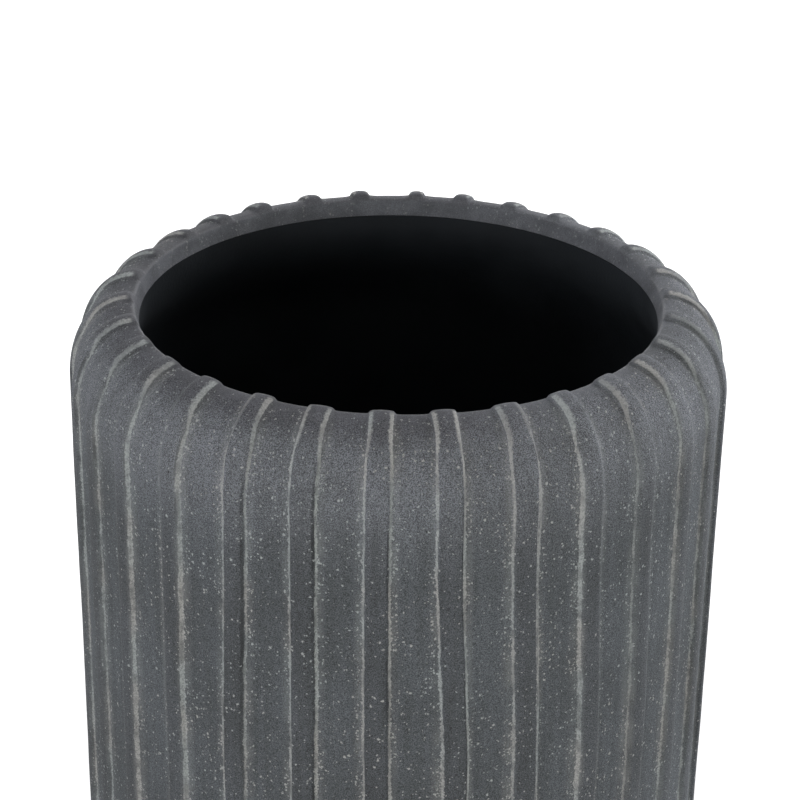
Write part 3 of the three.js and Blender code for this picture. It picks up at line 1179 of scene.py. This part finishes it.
def make_rubber(name, lightness, scale):
    """Moulded rubber: dark, dull, with a fine matt grain and a little dust."""
    material, tree, shader = new_material(name)
    place = add_node(tree, "ShaderNodeTexCoord").outputs["Object"]
    grain = grains(tree, place, scale)
    film = patchy(tree, place, RUBBER_FILM, FILM_LIMITS)
    dust = maths(tree, "MAXIMUM", film, specks(tree, place, scale / 2, RUBBER_SPECK_SHARE))
    colour = blended(tree, dust, grey(lightness), grey(lightness * DUSTY_GAIN))
    tree.links.new(colour, shader.inputs["Base Color"])
    tree.links.new(between(tree, grain, *RUBBER_ROUGHNESS), shader.inputs["Roughness"])
    shader.inputs["Specular IOR Level"].default_value = RUBBER_SPECULAR
    add_bump(tree, shader, grain, RUBBER_BUMP, RUBBER_BUMP_DISTANCE)
    return material


plug_rubber = make_rubber("plug_rubber", PLUG_GREY, PLUG_GRAIN_SCALE)
pad_rubber = make_rubber("pad_rubber", PAD_GREY, PAD_GRAIN_SCALE)
print("rubber finishes:", plug_rubber.name, pad_rubber.name)

# %% Outline of the plug
PLUG_CLEARANCE = 0.3 * MM
STEM_RADIUS = DRAIN_RADIUS - PLUG_CLEARANCE
STEM_TAPER = 1.0 * MM
FLANGE_THICKNESS = 3.0 * MM
GRIP_RADIUS = 7.0 * MM
GRIP_WAIST = 5.0 * MM
WAIST_ROWS = 6

plug_low, plug_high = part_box("drain_plug")
flange_radius = (plug_high.x - plug_low.x) / 2
flange_z = floor_z - SUMP_DEPTH + LINING_GAP + LINING_THICKNESS + PLUG_CLEARANCE


def plug_outline():
    """The plug from the tip of its stem to the top of its grip, on the axis at both ends."""
    flange_top = flange_z + FLANGE_THICKNESS
    middle = (flange_top + plug_high.z) / 2
    waist_reach = (GRIP_RADIUS - GRIP_WAIST, plug_high.z - middle)
    return [
        (0, plug_low.z),
        (STEM_RADIUS - STEM_TAPER, plug_low.z),
        (STEM_RADIUS, flange_z),
        (flange_radius, flange_z),
        (flange_radius, flange_top),
        *arc((GRIP_RADIUS, middle), waist_reach, 270, 90, WAIST_ROWS),
        (0, plug_high.z),
    ]


print("plug outline:", len(plug_outline()), "points, flange radius", round(flange_radius, 4))

# %% Plug
PLUG_COLUMNS = 64
PLUG_EDGE = 0.6 * MM
PLUG_CREASE = 60
EDGE_SEGMENTS = 3
EDGE_DEGREES = 40


def soften(bm, width):
    """Round every edge that turns by more than an angle."""
    sharp = [edge for edge in bm.edges if edge.calc_face_angle(0) > math.radians(EDGE_DEGREES)]
    bmesh.ops.bevel(
        bm, geom=sharp, offset=width, segments=EDGE_SEGMENTS, profile=0.5, affect="EDGES", material=-1
    )


plug_mesh = turned(plug_outline(), PLUG_COLUMNS, closed=False)
soften(plug_mesh, PLUG_EDGE)
finished("rubber_plug", plug_mesh, "plug", ["drain_plug"], plug_rubber, PLUG_CREASE)

# %% Pads
PAD_COUNT = 4
PAD_SIDES = 64
PAD_EDGE = 0.5 * MM
PAD_CREASE = 50
PAD_RINGS = 3
PAD_PLAIN_MIDDLE = 1.5  # in ring widths
PAD_GROOVE_WIDTH = 1.2 * MM
PAD_GROOVE_DEPTH = 0.5 * MM
PAD_GROOVE_SLOPE = 0.25 * MM


def press_ring(bm, gap):
    """Press one ring into the underside, a gap inside the last. The large low face is the plain middle."""
    under = min(bm.faces, key=lambda face: face.calc_center_median().z - face.calc_area())
    bmesh.ops.inset_region(bm, faces=[under], thickness=gap)
    groove = bmesh.ops.inset_region(bm, faces=[under], thickness=PAD_GROOVE_WIDTH)
    bmesh.ops.inset_region(
        bm, faces=groove["faces"], thickness=PAD_GROOVE_SLOPE, depth=-PAD_GROOVE_DEPTH
    )


def pad_mesh(low, high):
    """A disc with rounded edges and rings pressed into its underside."""
    bm = bmesh.new()
    radius = (high.x - low.x) / 2
    bmesh.ops.create_circle(bm, cap_ends=True, radius=radius, segments=PAD_SIDES)
    raised = bmesh.ops.extrude_face_region(bm, geom=bm.faces[:])
    lifted = [part for part in raised["geom"] if isinstance(part, bmesh.types.BMVert)]
    bmesh.ops.translate(bm, verts=lifted, vec=(0, 0, high.z - low.z))
    bmesh.ops.recalc_face_normals(bm, faces=bm.faces)
    soften(bm, PAD_EDGE)
    for ring in range(PAD_RINGS):
        press_ring(bm, radius / (PAD_RINGS + PAD_PLAIN_MIDDLE) / 2)
    middle = (low + high) / 2
    bmesh.ops.translate(bm, verts=bm.verts, vec=(middle.x, middle.y, low.z))
    return bm


for number in range(1, PAD_COUNT + 1):
    node = f"foot_pad_{number}"
    pad = pad_mesh(*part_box(node))
    finished(f"rubber_pad_{number}", pad, "vase", [node], pad_rubber, PAD_CREASE)

# %% [markdown]
# ## Floor and surround
#
# The vase stands on a plain pale floor in front of white. A white that comes from strong lamps would wash
# the vase out, so floor and surround glow white for the camera and in reflections alone. The glow is weaker
# near the vase, and the floor itself is matt, so that the shadow stays. For everything else the surround is
# dim, with a little more light at the horizon than overhead.

# %% Floor
FLOOR_SIZE = 20.0
FLOOR_DROP = 0.1 * MM
floor_mesh = bpy.data.meshes.new("floor")
floor_bm = bmesh.new()
bmesh.ops.create_grid(floor_bm, x_segments=1, y_segments=1, size=FLOOR_SIZE / 2)
floor_bm.to_mesh(floor_mesh)
floor_bm.free()
floor = bpy.data.objects.new("floor", floor_mesh)
floor.location.z = -FLOOR_DROP
bpy.context.scene.collection.objects.link(floor)
print("floor:", FLOOR_SIZE, "metres across")

# %% Floor material
FLOOR_GREY = 0.3
NEAR_GLOW = 0.78
FAR_GLOW = 1.0
NEAR_RADII = 2
FAR_RADII = 5


def seen_by_eye(tree):
    """1 for rays from the camera or seen in gloss and glass, and 0 for light that bounces."""
    rays = add_node(tree, "ShaderNodeLightPath")
    gloss = maths(tree, "MAXIMUM", rays.outputs["Is Glossy Ray"], rays.outputs["Is Transmission Ray"])
    return maths(tree, "MAXIMUM", rays.outputs["Is Camera Ray"], gloss)


def make_floor():
    """Pale matt floor that glows white to the eye, and less near the vase."""
    material, tree, _ = new_material("pale_floor")
    tree.nodes.clear()
    place = add_node(tree, "ShaderNodeTexCoord").outputs["Object"]
    from_vase = add_node(tree, "ShaderNodeVectorMath", {0: place}, operation="LENGTH").outputs["Value"]
    near = NEAR_RADII * body_radius
    far = FAR_RADII * body_radius
    strength = product(tree, seen_by_eye(tree), window(tree, from_vase, near, far, NEAR_GLOW, FAR_GLOW))
    matt = add_node(tree, "ShaderNodeBsdfDiffuse", {"Color": grey(FLOOR_GREY)})
    glow = add_node(tree, "ShaderNodeEmission", {"Strength": strength})
    both = add_node(tree, "ShaderNodeAddShader", {0: matt.outputs[0], 1: glow.outputs[0]})
    add_node(tree, "ShaderNodeOutputMaterial", {"Surface": both.outputs[0]})
    return material


floor_mesh.materials.append(make_floor())
print("floor glow from", NEAR_GLOW, "near the vase to", FAR_GLOW)

# %% World
HORIZON_LIGHT = 0.048
ZENITH_LIGHT = 0.008
DIM_ABOVE = 0.2  # height of a direction, from 0 at the horizon to 1 overhead
world = bpy.data.worlds.new("studio")
bpy.context.scene.world = world
world.use_nodes = True
world_tree = world.node_tree
world_tree.nodes.clear()
direction = add_node(world_tree, "ShaderNodeTexCoord").outputs["Generated"]
upward = add_node(world_tree, "ShaderNodeSeparateXYZ", {"Vector": direction}).outputs["Z"]
dim = window(world_tree, upward, 0.0, DIM_ABOVE, HORIZON_LIGHT, ZENITH_LIGHT)
sky_strength = mixed_value(world_tree, seen_by_eye(world_tree), dim, 1.0)
sky = add_node(world_tree, "ShaderNodeBackground", {"Color": WHITE, "Strength": sky_strength})
add_node(world_tree, "ShaderNodeOutputWorld", {"Surface": sky.outputs[0]})
print("surround light from", HORIZON_LIGHT, "at the horizon to", ZENITH_LIGHT, "overhead")

# %% [markdown]
# ## Lamps
#
# Two wide softboxes stand low, left and right of the camera, so that their light grazes the ribs and brings
# out the grain. Smaller ones at the right side, behind the vase, and high at the back left and back right
# light its outer sides and the rim. One large lamp overhead would be simpler, but it would flatten the ribs
# and fill the dark mouth.

# %% Softboxes
LAMP_DISTANCE = 2.5
lamp_aim = Vector((0, 0, 420 * MM))


def softbox(name, right, up, watts, colour, wide, tall):
    """A lamp that faces the vase, so many degrees right of the front and up. It isn't seen itself."""
    data = bpy.data.lights.new(name, "AREA")
    data.shape = "RECTANGLE"
    data.size = wide
    data.size_y = tall
    data.energy = watts
    data.color = colour
    lamp = bpy.data.objects.new(name, data)
    side = math.radians(right)
    rise = math.radians(up)
    away = Vector((math.cos(rise) * math.sin(side), -math.cos(rise) * math.cos(side), math.sin(rise)))
    lamp.location = lamp_aim + away * LAMP_DISTANCE
    lamp.rotation_mode = "QUATERNION"
    lamp.rotation_quaternion = (-away).to_track_quat("-Z", "Y")
    lamp.visible_camera = False
    bpy.context.scene.collection.objects.link(lamp)


softbox("low_left", right=-35, up=6, watts=54, colour=(0.96, 0.965, 1.0), wide=2.5, tall=0.9)
softbox("low_right", right=48, up=5, watts=32, colour=(1.0, 1.0, 0.98), wide=2.5, tall=0.65)
softbox("left_back", right=-108, up=34, watts=16, colour=(0.92, 0.94, 1.0), wide=0.9, tall=0.9)
softbox("right_side", right=100, up=-2, watts=28, colour=(0.88, 0.91, 1.0), wide=2.0, tall=0.5)
softbox("right_back", right=138, up=37, watts=56, colour=(0.96, 0.96, 1.0), wide=1.2, tall=1.2)
softbox("back", right=-170, up=6, watts=24, colour=(1.0, 1.0, 1.0), wide=2.0, tall=0.6)

# %% [markdown]
# ## Camera
#
# The camera looks down into the mouth from a little over a metre away, with a long lens. It could be placed
# by eye, but its distance, angles and lens come from fitting the mouth's outline and the ribs to the photo.
# The distance is in body radii, and the height angle is seen from the middle of the mouth.

# %% Camera
CAMERA_RADII = 7.407
CAMERA_HEIGHT = math.radians(23.59)
CAMERA_TURN = math.radians(2.89)
CAMERA_PITCH = math.radians(26.14)
CAMERA_ROLL = math.radians(0.88)
CAMERA_YAW = math.radians(0.07)
CAMERA_LENS = 110.4
SENSOR_WIDTH = 36.0

camera_data = bpy.data.cameras.new("camera")
camera_data.lens = CAMERA_LENS
camera_data.sensor_width = SENSOR_WIDTH
camera = bpy.data.objects.new("camera", camera_data)
camera_distance = CAMERA_RADII * body_radius
level = camera_distance * math.cos(CAMERA_HEIGHT)
camera.location = (
    level * math.sin(CAMERA_TURN),
    -level * math.cos(CAMERA_TURN),
    body_high.z + camera_distance * math.sin(CAMERA_HEIGHT),
)
heading = Matrix.Rotation(CAMERA_TURN - CAMERA_YAW, 4, "Z")
tilt = Matrix.Rotation(math.pi / 2 - CAMERA_PITCH, 4, "X")
roll = Matrix.Rotation(CAMERA_ROLL, 4, "Z")
camera.rotation_euler = (heading @ tilt @ roll).to_euler()
bpy.context.scene.collection.objects.link(camera)
bpy.context.scene.camera = camera
bpy.context.scene.view_settings.view_transform = "Standard"
print("camera at", [round(c, 3) for c in camera.location])

# %% [markdown]
# ## The end
